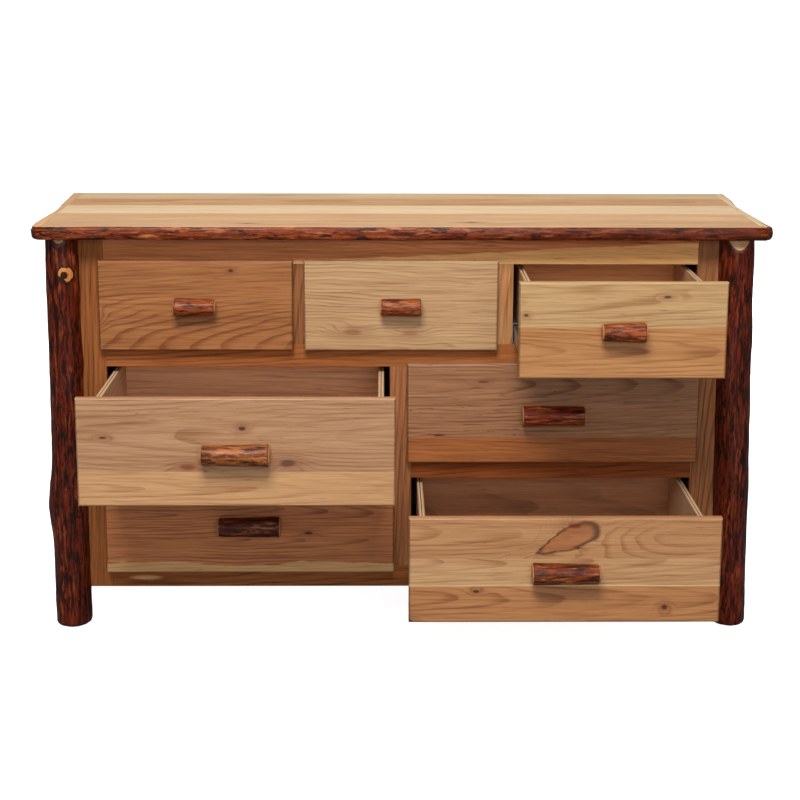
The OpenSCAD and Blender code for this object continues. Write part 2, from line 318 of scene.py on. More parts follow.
@dataclass(frozen=True)
class Wood:
    """A board's finish: rings cut by the face, fine fibre, blotches, knots and sapwood.

    The tree's pith runs at a height or width called centre, a depth called pith behind the face,
    and leaves the board's length by the slope called tilt. Sapwood lies beyond sap_edge.
    """

    name: str
    grain: Grain
    light: str
    dark: str
    blotch: str
    seed: int
    face: float = 0.0
    pith: float = 0.06
    tilt: float = 0.05
    centre: float = 0.0
    ring: float = 0.0068
    figure: float = 0.5
    dashes: float = 0.5
    knots: tuple[Knot, ...] = ()
    sap: str = ""
    sap_edge: float = 0.0
    sap_slope: float = 0.0
    sap_wave: float = 0.02
    gain: float = 1.0
    gloss: float = 1.0

    def tone(self, text: str) -> Colour:
        """A colour times the finish's gain."""
        return tuple(min(1.0, c * self.gain) for c in srgb(text))

    def build(self) -> bpy.types.Material:
        """Makes the material."""
        g = Graph(bpy.data.materials.new(self.name))
        rng = random.Random(self.seed)
        here = g.place(self.grain.value, (0.0, 0.0, 0.0))
        along, across, deep = g.parts(here)
        shift = tuple(rng.uniform(-9, 9) for _ in range(3))
        moved = g.node("ShaderNodeVectorMath", {"operation": "ADD"}, {0: here, 1: shift})
        sway = g.noise(moved, (1.9, 8.0, 8.0), 3.0, 0.55) - 0.5
        wobble = g.noise(moved, (10.0, 60.0, 60.0), 3.0, 0.6) - 0.5
        v = across - self.centre + sway * 0.055 + wobble * 0.005
        d = deep + along * self.tilt + (self.pith - self.face) + sway * 0.02
        radius = (v * v + d * d).math("SQRT")
        spots = []
        for knot in self.knots:
            cos, sin = math.cos(math.radians(knot.turn)), math.sin(math.radians(knot.turn))
            kx, kz = along - knot.along, across - knot.across + sway * 0.006
            long_way = (kx * cos + kz * sin) * (1.0 / knot.stretch)
            short_way = kz * cos - kx * sin + wobble * knot.radius * 0.8
            if knot.outline:
                taper = (long_way * (0.45 / knot.radius) + 0.75).math("MAXIMUM", 0.25)
                short_way = short_way / taper + sway * 0.02
            gap = (long_way * long_way + short_way * short_way).math("SQRT") * (1.0 / knot.radius)
            ring = gap.step(0.8, 4.5, 1.0, 0.0)
            radius = radius + ring * ring * knot.radius * 1.5
            spots.append((knot, gap, ring))
        wave = (radius * (1.0 / self.ring)).math("FRACT")
        late = wave.step(0.5, 0.94) * wave.step(0.95, 1.0, 1.0, 0.0)
        patchy = g.noise(moved, (3.0, 14.0, 14.0), 2.0, 0.5).step(0.32, 0.7, 0.2, 1.0)
        fibre = g.noise(moved, (14.0, 650.0, 650.0), 3.0, 0.6)
        streak = (g.noise(moved, (4.0, 120.0, 120.0), 4.0, 0.66).step(0.43, 0.64) * 0.55
                  + g.noise(moved, (9.0, 300.0, 300.0), 2.0, 0.5).step(0.45, 0.62) * 0.45)
        band = g.noise(moved, (1.5, 42.0, 42.0), 3.0, 0.6)
        broad = g.noise(moved, (1.5, 13.0, 13.0), 3.0, 0.6)
        dash = (g.noise(moved, (26.0, 420.0, 420.0), 2.0, 0.55).step(0.64, 0.72)
                * g.noise(moved, (4.0, 20.0, 20.0), 2.0).step(0.45, 0.6))
        shade = (broad.step(0.32, 0.7) + band.step(0.35, 0.7)) * BLOTCH_SHARE
        base = g.mix(shade, self.tone(self.light), self.tone(self.blotch))
        line = (late * patchy * RING_SHARE + streak * STREAK_SHARE) * self.figure
        colour = g.mix(line + fibre.step(0.4, 0.8) * 0.1, base, self.tone(self.dark))
        if self.sap:
            edge = along * self.sap_slope + self.sap_edge - across
            wavy = g.noise(moved, (5.0, 5.0, 5.0), 4.0, 0.6) - 0.5
            inside = (edge + wavy * self.sap_wave * 2.0).step(-0.0012, 0.0012)
            pale = g.mix(line * 0.5 + fibre.step(0.4, 0.8) * 0.15, srgb(self.sap),
                         self.tone(self.dark))
            colour = g.mix(inside, colour, pale)
        colour = g.mix(dash * self.dashes, colour, srgb(PORE))
        for knot, gap, ring in spots:
            if knot.outline:
                inside = gap.step(0.85, 1.0, knot.strength, 0.0)
                rim = gap.step(0.72, 0.98) * gap.step(0.98, 1.14, knot.outline, 0.0)
                colour = g.mix(inside, colour, srgb(knot.colour))
                colour = g.mix(rim, colour, srgb(HEARTWOOD_LINE))
            else:
                colour = g.mix(ring * ring * 0.45 * knot.strength, colour, srgb(KNOT_HALO))
                core = gap.step(0.45, 1.1, knot.strength, 0.0)
                colour = g.mix(core * (1.0 - streak * 0.3), colour, srgb(knot.colour))
        relief = fibre * 0.00010 + late * -0.00004 + dash * -0.00008
        rough = fibre.step(0.2, 0.8, 0.40, 0.52) + late * 0.05
        return g.finish(colour, rough, relief, 0.5, coat=0.06 * self.gloss, coat_rough=0.35,
                        specular=0.3 * self.gloss)


@dataclass(frozen=True)
class Scar:
    """A ring-shaped branch scar on a log, at a height, an X and in front of a depth."""

    along: float
    across: float
    deep: float
    radius: float


@dataclass(frozen=True)
class Bark:
    """Varnished bark: fibrous streaks along the log, dark scales, orange flecks, painted orange
    highlights and a painted sheen.
    """

    name: str
    grain: Grain
    seed: int
    deep_colour: str = "220803"
    body_colour: str = "641e09"
    fleck_and_highlight_colour: str = "a5502a"
    painted_sheen_colour: str = "6b4038"
    scale: float = 1.0
    dark_share: float = 0.85
    fleck_and_highlight_share: float = 0.6
    painted_sheen_share: float = 0.2
    deepen: tuple[float, float] = (0.0, 0.0)
    scars: tuple[Scar, ...] = ()

    def build(self) -> bpy.types.Material:
        """Makes the material."""
        g = Graph(bpy.data.materials.new(self.name))
        rng = random.Random(self.seed)
        shift = tuple(rng.uniform(-9, 9) for _ in range(3))
        here = g.place(self.grain.value, (0.0, 0.0, 0.0))
        p = g.node("ShaderNodeVectorMath", {"operation": "ADD"}, {0: here, 1: shift})
        s = self.scale
        warp = g.noise(p, (12 * s, 30 * s, 30 * s), 3.0, 0.6)
        bent = g.node("ShaderNodeVectorMath", {"operation": "MULTIPLY_ADD"},
                      {0: g.vector(warp, warp, warp), 1: (0.02, 0.012, 0.012), 2: p})
        streak = g.noise(bent, (16 * s, 130 * s, 130 * s), 4.0, 0.65)
        fine = g.noise(bent, (45 * s, 560 * s, 560 * s), 3.0, 0.6)
        patch = g.noise(p, (16 * s, 62 * s, 62 * s), 4.0, 0.62)
        glow = g.noise(bent, (9 * s, 60 * s, 60 * s), 3.0, 0.6)
        sheen = g.noise(p, (5 * s, 26 * s, 26 * s), 2.0, 0.5)
        colour = g.mix(streak.step(0.36, 0.62), srgb(self.deep_colour), srgb(self.body_colour))
        # Painted highlights: orange patches where the glossy bark catches the light.
        colour = g.mix(glow.step(0.48, 0.68) * streak.step(0.42, 0.6) * self.fleck_and_highlight_share,
                       colour, srgb(self.fleck_and_highlight_colour))
        # Painted sheen: greyish mauve patches that stand in for the varnish's reflections.
        colour = g.mix(sheen.step(0.52, 0.75) * self.painted_sheen_share, colour, srgb(self.painted_sheen_colour))
        colour = g.mix(patch.step(0.53, 0.62) * self.dark_share, colour, srgb(BARK_SCALE))
        # Fine orange flecks, the bark's own colour, in the same orange.
        colour = g.mix(fine.step(0.55, 0.75) * self.fleck_and_highlight_share * 0.4, colour,
                       srgb(self.fleck_and_highlight_colour))
        if self.deepen[1] > self.deepen[0]:
            far = g.parts(here)[0].step(self.deepen[0], self.deepen[1], 0.0, 0.55)
            colour = g.mix(far, colour, srgb(self.deep_colour))
        for scar in self.scars:
            along, across, deep = g.parts(here)
            x, y = along - scar.along, across - scar.across
            gap = (x * x + y * y).math("SQRT") * (1.0 / scar.radius) + (warp - 0.5) * 1.3
            near = deep.step(scar.deep - 0.001, scar.deep, 1.0, 0.0)
            open_side = ((x * -0.75 - y * 0.65) * (1.0 / scar.radius) + (streak - 0.5) * 1.6)
            colour = g.mix(gap.step(0.95, 1.05, 1.0, 0.0) * near, colour, srgb("c98042"))
            hollow = gap.step(0.35, 0.5, 1.0, 0.0).math("MAXIMUM", open_side.step(0.35, 0.5))
            colour = g.mix(hollow * gap.step(0.95, 1.05, 1.0, 0.0) * near, colour, srgb("30120a"))
            colour = g.mix(gap.step(0.95, 1.05) * gap.step(1.05, 1.35, 0.9, 0.0) * near, colour,
                           srgb("140706"))
        relief = streak * 0.0016 + fine * 0.0005 + patch * -0.0008
        rough = fine.step(0.3, 0.7, 0.36, 0.55)
        return g.finish(colour, rough, relief, 0.8, coat=0.10, coat_rough=0.2, specular=0.16)


@dataclass(frozen=True)
class EndWood:
    """Pale sawn wood of a log with rings about its axis, and dark inner bark round its rim."""

    name: str
    light: str
    dark: str
    seed: int
    grain: Grain = Grain.UPRIGHT
    axis: tuple[float, float] = (0.0, 0.0)
    radius: float = 1.0
    rim: float = 0.0016
    rim_colour: str = "4a2a28"

    def build(self) -> bpy.types.Material:
        """Makes the material."""
        g = Graph(bpy.data.materials.new(self.name))
        rng = random.Random(self.seed)
        here = g.place(self.grain.value, (0.0, -self.axis[0], -self.axis[1]))
        moved = g.node("ShaderNodeVectorMath", {"operation": "ADD"},
                       {0: here, 1: tuple(rng.uniform(-5, 5) for _ in range(3))})
        _, u, v = g.parts(here)
        patch = g.noise(moved, (60.0, 60.0, 60.0), 3.0, 0.6)
        speck = g.noise(moved, (500.0, 500.0, 500.0), 2.0, 0.6)
        out = (u * u + v * v).math("SQRT")
        band = ((out + patch * 0.004) * 420.0).math("FRACT").step(0.2, 0.9)
        colour = g.mix(band * 0.35 + speck.step(0.45, 0.8) * 0.25 + patch.step(0.4, 0.7) * 0.25,
                       srgb(self.light), srgb(self.dark))
        edge = out.step(self.radius - self.rim - 0.0006, self.radius - self.rim)
        colour = g.mix(edge, colour, srgb(self.rim_colour))
        return g.finish(colour, speck.step(0.2, 0.8, 0.4, 0.58), speck * 0.0002 + band * 0.0001, 0.5,
                        coat=0.08, coat_rough=0.3)


@dataclass(frozen=True)
class Steel:
    """Zinc-plated steel with faint drawn lines and dull patches."""

    name: str
    colour: str = "b9bcc0"
    seed: int = 3

    def build(self) -> bpy.types.Material:
        """Makes the material."""
        g = Graph(bpy.data.materials.new(self.name))
        p = g.place("YZX", (0.0, 0.0, 0.0))
        drawn = g.noise(p, (12.0, 900.0, 900.0), 2.0, 0.5)
        dull = g.noise(p, (30.0, 45.0, 45.0), 3.0, 0.6)
        colour = g.mix(dull.step(0.4, 0.7) * 0.5 + drawn.step(0.4, 0.7) * 0.2,
                       srgb(self.colour), srgb("7d8186"))
        return g.finish(colour, dull.step(0.2, 0.8, 0.28, 0.45), drawn * 0.00005, 0.4, metallic=1.0)


# Modelling helpers


def deselect() -> None:
    """Leaves edit mode and deselects everything."""
    if bpy.context.object is not None and bpy.context.object.mode != "OBJECT":
        bpy.ops.object.mode_set(mode="OBJECT")
    bpy.ops.object.select_all(action="DESELECT")


def activate(obj: bpy.types.Object) -> None:
    """Selects one object alone and makes it active."""
    deselect()
    obj.select_set(True)
    bpy.context.view_layer.objects.active = obj


def edit(obj: bpy.types.Object, kind: str, test: Callable[[list[Vector]], bool],
         *steps: tuple[Callable, dict]) -> None:
    """Runs edit-mode operators on some elements of a mesh.

    Args:
        obj: the object.
        kind: VERT, EDGE or FACE.
        test: says, from an element's corner points, whether it is selected.
        steps: operators with what they are told.
    """
    activate(obj)
    bpy.ops.object.mode_set(mode="EDIT")
    bpy.ops.mesh.select_mode(type=kind)
    bpy.ops.mesh.select_all(action="DESELECT")
    bpy.ops.object.mode_set(mode="OBJECT")
    mesh = obj.data
    points = [v.co for v in mesh.vertices]
    group = {"VERT": mesh.vertices, "EDGE": mesh.edges, "FACE": mesh.polygons}[kind]
    for element in group:
        corners = [element.co] if kind == "VERT" else [points[i] for i in element.vertices]
        element.select = test(corners)
    bpy.ops.object.mode_set(mode="EDIT")
    for operator, told in steps:
        operator(**told)
    bpy.ops.object.mode_set(mode="OBJECT")


def everything(corners: list[Vector]) -> bool:
    """Selects every element."""
    return True


def apply_place(obj: bpy.types.Object) -> None:
    """Puts an object's place, turn and scale into its mesh."""
    activate(obj)
    bpy.ops.object.transform_apply(location=True, rotation=True, scale=True)


def add_box(name: str, low: Vector, high: Vector) -> bpy.types.Object:
    """A box between two corners."""
    deselect()
    bpy.ops.mesh.primitive_cube_add(size=1, location=(low + high) / 2)
    obj = bpy.context.object
    obj.name = name
    obj.data.name = name
    obj.scale = high - low
    apply_place(obj)
    return obj


def ease(obj: bpy.types.Object, width: float, segments: int = 2) -> None:
    """Rounds every sharp edge with a bevel modifier, which is applied."""
    activate(obj)
    bevel = obj.modifiers.new("ease", "BEVEL")
    bevel.width = width
    bevel.segments = segments
    bevel.limit_method = "ANGLE"
    bevel.angle_limit = math.radians(40)
    bpy.ops.object.modifier_apply(modifier=bevel.name)


def smooth(obj: bpy.types.Object, angle: float = 35.0, flat_faces: bool = True) -> None:
    """Shades an object smooth up to an angle.

    Args:
        obj: the object.
        angle: that angle, in degrees.
        flat_faces: whether large faces stay flat up to the rounded edges beside them.
    """
    activate(obj)
    bpy.ops.object.shade_smooth_by_angle(angle=math.radians(angle))
    if flat_faces:
        weigh = obj.modifiers.new("weigh", "WEIGHTED_NORMAL")
        weigh.keep_sharp = True
        bpy.ops.object.modifier_apply(modifier=weigh.name)


def cut(obj: bpy.types.Object, place: Vector, normal: Vector, open_up: bool = False) -> None:
    """Bisects a whole mesh.

    Args:
        obj: the object.
        place: a point of the plane.
        normal: the plane's normal.
        open_up: whether what lies beyond the plane is removed and the cut filled.
    """
    edit(obj, "FACE", everything, (bpy.ops.mesh.bisect, {
        "plane_co": place, "plane_no": normal, "clear_outer": open_up, "use_fill": open_up}))


def join(name: str, parts: list[bpy.types.Object]) -> bpy.types.Object:
    """Joins several objects into one, which takes a name."""
    deselect()
    for part in parts:
        part.select_set(True)
    bpy.context.view_layer.objects.active = parts[0]
    if len(parts) > 1:
        bpy.ops.object.join()
    parts[0].name = name
    parts[0].data.name = name
    return parts[0]


def copy_of(node: str, name: str) -> bpy.types.Object:
    """A clean copy of a CAD node's mesh, with its loose triangles merged."""
    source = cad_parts[node]
    obj = bpy.data.objects.new(name, source.data.copy())
    obj.data.name = name
    bpy.context.scene.collection.objects.link(obj)
    obj.data.materials.clear()
    edit(obj, "VERT", everything,
         (bpy.ops.mesh.remove_doubles, {"threshold": 1e-5}),
         (bpy.ops.mesh.dissolve_limited, {"angle_limit": math.radians(0.5)}),
         (bpy.ops.mesh.normals_make_consistent, {"inside": False}))
    return obj


def face_outwards(obj: bpy.types.Object) -> None:
    """Points every normal outwards."""
    edit(obj, "FACE", everything, (bpy.ops.mesh.normals_make_consistent, {"inside": False}))


def paint(obj: bpy.types.Object, materials: list[bpy.types.Material],
          choose: Callable[[bpy.types.MeshPolygon], int] | None = None) -> None:
    """Gives an object its materials.

    Args:
        obj: the object.
        materials: one for each slot.
        choose: gives a face's slot; the first if left out.
    """
    obj.data.materials.clear()
    for material in materials:
        obj.data.materials.append(material)
    for face in obj.data.polygons:
        face.material_index = choose(face) if choose else 0


def add_tube(name: str, sides: int, rings: int) -> bpy.types.Object:
    """A cylinder of radius 1 from z = 0 to z = 1, cut into rings."""
    deselect()
    bpy.ops.mesh.primitive_cylinder_add(vertices=sides, radius=1, depth=1, location=(0, 0, 0.5))
    obj = bpy.context.object
    obj.name = name
    obj.data.name = name
    apply_place(obj)
    edit(obj, "EDGE", lambda corners: abs(corners[0].z - corners[1].z) > 0.5,
         (bpy.ops.mesh.subdivide, {"number_cuts": rings - 1}))
    return obj


def reshape(obj: bpy.types.Object, shape: Callable[[float, float], Vector]) -> None:
    """Moves each vertex of a tube to where a function of its angle and its share of the length says."""
    for vertex in obj.data.vertices:
        vertex.co = shape(math.atan2(vertex.co.y, vertex.co.x), vertex.co.z)
    obj.data.update()


def relief(place: Vector, along: float, around: float, octaves: int = 3) -> float:
    """Fibrous noise, about -1 to 1, stretched along the log.

    Args:
        place: where, with the log along Z.
        along: features per metre along the log.
        around: features per metre around it.
        octaves: how many octaves.

    Returns:
        The noise.
    """
    where = Vector((place.x * around, place.y * around, place.z * along))
    return noise.fractal(where, 0.9, 2.1, octaves)


def ends_dense(share: float) -> float:
    """Packs rings towards both ends of a tube."""
    return share - math.sin(share * 2 * math.pi) / (2 * math.pi) * 0.72


# The dresser


@dataclass(frozen=True)
class Lump:
    """A swelling on a log: height, angle in degrees seen from above, size and swell."""

    height: float
    angle: float
    size: float
    swell: float


@dataclass
class Post:
    """A bark log post that stands for one CAD post."""

    node: str
    seed: int
    foot_r: float
    head_r: float
    foot_shift: float = 0.0
    head_shift: float = 0.0
    facet: float = 0.0
    facet_h: float = 0.024
    lumps: tuple[Lump, ...] = ()
    # How much painted highlight and orange fleck its bark gets.
    glow: float = 0.4
    sides: int = 112
    rings: int = 260

    def build(self, bark: bpy.types.Material, pale: EndWood) -> bpy.types.Object:
        """Builds the post.

        Args:
            bark: its bark.
            pale: the wood that shows where it is cut.

        Returns:
            The post.
        """
        low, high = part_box(self.node)
        middle = (low + high) / 2
        tall = high.z
        obj = add_tube(self.node + "_log", self.sides, self.rings)
        seed = Vector((self.seed * 3.7, self.seed * 1.3, self.seed * 5.1))

        def shape(angle: float, share: float) -> Vector:
            z = ends_dense(share) * tall
            t = z / tall
            radius = self.foot_r + (self.head_r - self.foot_r) * t
            around = Vector((math.cos(angle) * radius, math.sin(angle) * radius, z))
            swell = 0.0016 * relief(around + seed, 5.0, 22.0, 2)
            swell += 0.0011 * relief(around + seed * 2, 16.0, 190.0, 4)
            swell += 0.0006 * relief(around + seed * 3, 40.0, 420.0, 2)
            for lump in self.lumps:
                turn = math.radians(lump.angle) - angle
                turn = math.atan2(math.sin(turn), math.cos(turn)) * radius
                gap = math.hypot(turn, z - lump.height) / lump.size
                swell += lump.swell * math.exp(-gap * gap)
            swell *= min(1.0, 0.25 + (tall - z) / 0.07)
            swell -= 0.006 * max(0.0, 1 - z / 0.009) ** 2
            radius += swell
            if share <= 0.0 or share >= 1.0:
                radius -= 0.001
            shift = self.foot_shift + (self.head_shift - self.foot_shift) * t
            return Vector((middle.x + shift + math.cos(angle) * radius,
                           middle.y + math.sin(angle) * radius, z))

        reshape(obj, shape)
        plane = Vector((0, 0, 1))
        if self.facet:
            sagitta = self.head_r - math.sqrt(self.head_r ** 2 - self.facet ** 2 / 4)
            plane = Vector((0, -self.facet_h, sagitta)).normalized()
            cut(obj, Vector((middle.x, middle.y - self.head_r, tall - self.facet_h)), plane,
                open_up=True)
        smooth(obj, 50, False)

        def choose(face: bpy.types.MeshPolygon) -> int:
            sawn = len(face.vertices) > 8 and face.normal.dot(plane) > 0.999
            return int(sawn or abs(face.normal.z) > 0.97)

        spot = (middle.x + self.head_shift, middle.y)
        sawn_wood = replace(pale, name=self.node + "_cut", axis=spot, radius=self.head_r)
        paint(obj, [bark, sawn_wood.build()], choose)
        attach(obj, "case")
        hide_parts(self.node)
        return obj


@dataclass
class Top:
    """The plank top and its live edge.

    Depths are counted from the drawer faces. Tips are how much further the front corners reach,
    and swells are the waves, in millimetres, of the left and right ends.
    """

    plank_y: tuple[float, ...] = (-0.018, 0.053, 0.162, 0.293, 0.409, 0.510)
    rim_front: float = 0.764
    rim_back: float = 0.776
    half_w: float = 0.786
    flare: float = 0.0156
    front: float = -0.039
    back: float = 0.510
    tips: tuple[float, float] = (0.001, 0.007)
    swells: tuple[float, float] = (1.5, -1.0)
    sides: int = 44
    face: float = 0.0
    low_z: float = 0.0
    high_z: float = 0.0

    def __post_init__(self) -> None:
        """Reads where the top is from the frame."""
        low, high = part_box("top_front_edge")
        self.face = low.y - self.front
        self.low_z, self.high_z = low.z, high.z

    def share(self, y: float) -> float:
        """How far back a depth is, from 0 at the front edge to 1 at the rear."""
        return (y - self.front) / (self.back - self.front)

    def end_x(self, y: float, swell: float) -> float:
        """Half width of the top at a depth, as in the CAD outline."""
        t = self.share(y)
        return (self.half_w + self.flare * t ** 3
                + MM * (3 * math.sin(math.pi * 3 * t) + swell * math.sin(math.pi * 4 * t)))

    def rim_x(self, y: float) -> float:
        """Inner edge of the bark strip at a depth."""
        return self.rim_front + (self.rim_back - self.rim_front) * self.share(y)

    def planks(self, materials: list[bpy.types.Material]) -> bpy.types.Object:
        """The planks, each with its own finish."""
        parts = []
        for k, (y0, y1) in enumerate(zip(self.plank_y, self.plank_y[1:])):
            low = Vector((-1, self.face + y0 + 0.1 * MM, self.low_z))
            high = Vector((1, self.face + y1 - 0.1 * MM, self.high_z))
            plank = add_box(f"plank_{k}", low, high)
            for vertex in plank.data.vertices:
                side = 1 if vertex.co.x > 0 else -1
                vertex.co.x = side * self.rim_x(vertex.co.y - self.face)
            ease(plank, 0.0005, 2)
            paint(plank, [materials[k]])
            parts.append(plank)
        obj = join("top_planks", parts)
        smooth(obj)
        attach(obj, "case")
        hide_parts("top_boards")
        return obj

    def route(self, length: float) -> tuple[Vector, Vector, float]:
        """Inner and outer point of the live edge at a length along it, and how round it is there.

        Args:
            length: metres along the edge, from the left rear corner round the front.

        Returns:
            The inner point, the outer point, and the width of its rounded part.
        """
        y_in = self.plank_y[0]
        corner = y_in - self.front
        run = self.back - y_in
        arc = corner * math.pi / 2
        thick = self.high_z - self.low_z
        broad, narrow = 0.42 * thick, 0.26 * thick
        halves = [self.end_x(y_in, 0) - corner + tip for tip in self.tips]
        for sign, swell, tip, half in zip((-1, 1), self.swells, self.tips, halves):
            part = length if sign < 0 else self.total() - length
            if part <= run:
                y = self.back - part
                near = max(0.0, 1 - (y - y_in) / 0.09)
                x = self.end_x(y, swell * (1 - near)) + tip * near * near
                soft = max(0.0, 1 - (y - y_in) / 0.14)
                return (Vector((sign * self.rim_x(y), y, 0)), Vector((sign * x, y, 0)),
                        narrow + (broad - narrow) * soft * soft)
            if part <= run + arc:
                a = (part - run) / corner
                outer = Vector((sign * (half + corner * math.cos(a)), y_in - corner * math.sin(a), 0))
                inner = Vector((sign * self.rim_x(y_in), y_in, 0))
                return inner.lerp(Vector((sign * half, y_in, 0)), a / (math.pi / 2)), outer, broad
        x = length - run - arc - halves[0]
        wave = (0.0018 * noise.noise(Vector((x * 6.0, 3.1, 0)))
                + 0.0007 * noise.noise(Vector((x * 22, 9, 0))))
        return Vector((x, y_in, 0)), Vector((x, self.front + wave + 0.0008, 0)), broad

    def total(self) -> float:
        """Length of the live edge."""
        y_in = self.plank_y[0]
        corner = y_in - self.front
        return (2 * (self.back - y_in + self.end_x(y_in, 0) - corner) + sum(self.tips)
                + math.pi * corner)

    def edge(self, barks: list[bpy.types.Material], pales: list[bpy.types.Material]) -> bpy.types.Object:
        """The live edge, one strip round three sides.

        Args:
            barks: bark along the left end, the front and the right end.
            pales: sanded wood along the same three.

        Returns:
            The edge.
        """
        rings = 720
        obj = add_tube("live_edge", self.sides, rings)
        total = self.total()
        thick = self.high_z - self.low_z
        corner = self.plank_y[0] - self.front
        sections: dict[int, tuple] = {}

        def shape(angle: float, share: float) -> Vector:
            ring = round(share * rings)
            if ring not in sections:
                sections[ring] = self.route(total * ring / rings)
            inner, outer, round_w = sections[ring]
            cos, sin = math.cos(angle), math.sin(angle)
            along = total * ring / rings
            reach = (outer - inner).length
            flat = reach - round_w * (1 + 0.15 * noise.noise(Vector((along * 14, 5.0, 0))))
            flat = max(flat, reach * 0.35)
            if cos <= 0.0:
                out, up = 0.0, 0.5 * thick * max(-1.0, min(1.0, sin / max(abs(cos), 1e-6)))
            else:
                out = flat + (reach - flat) * cos ** 0.62
                up = 0.5 * thick * math.copysign(abs(sin) ** 0.8, sin)
                lower = 0.5 * (1 - sin)
                rough = noise.fractal(Vector((angle * 5.0, along * 9.0, 1.7)), 0.8, 2.1, 4)
                fine = noise.fractal(Vector((angle * 16.0, along * 30.0, 7.7)), 0.8, 2.1, 3)
                pit = max(0.0, noise.noise(Vector((cos * 1.5, along * 11.0, sin * 2 + 4))) - 0.25)
                out += (0.0011 * rough + 0.0006 * fine - 0.006 * pit * lower) * min(1.0, cos * 3)
            spot = inner + (outer - inner).normalized() * out
            return Vector((spot.x, self.face + spot.y, (self.low_z + self.high_z) / 2 + up))

        reshape(obj, shape)
        face_outwards(obj)
        smooth(obj, 60, False)

        def choose(face: bpy.types.MeshPolygon) -> int:
            x, y = face.center.x, face.center.y - self.face
            forward = self.plank_y[0] - y
            corner_line = abs(x) - (self.end_x(self.plank_y[0], 0) - corner)
            at_front = 0 < forward and corner_line < forward
            ragged = 0.0007 * noise.noise(Vector((x * 60, y * 60, 0)))
            sanded = face.center.z + ragged > self.high_z - 0.0012 and face.normal.z > 0.5
            rim = self.end_x(y, self.swells[x > 0]) - abs(x) + ragged
            sanded = sanded and (at_front or rim >= 0.0060)
            tube_end = face.normal.z <= 0.5 and len(face.vertices) > 4
            side = 1 if at_front else 2 * int(x > 0)
            return side + len(barks) * int(sanded or tube_end)

        paint(obj, barks + pales, choose)
        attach(obj, "case")
        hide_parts("top_front_edge", "top_left_edge", "top_right_edge")
        return obj


@dataclass(frozen=True)
class Strip:
    """One of the boards glued edge to edge into a drawer front: its lower edge and its finish."""

    low_z: float
    wood: Wood


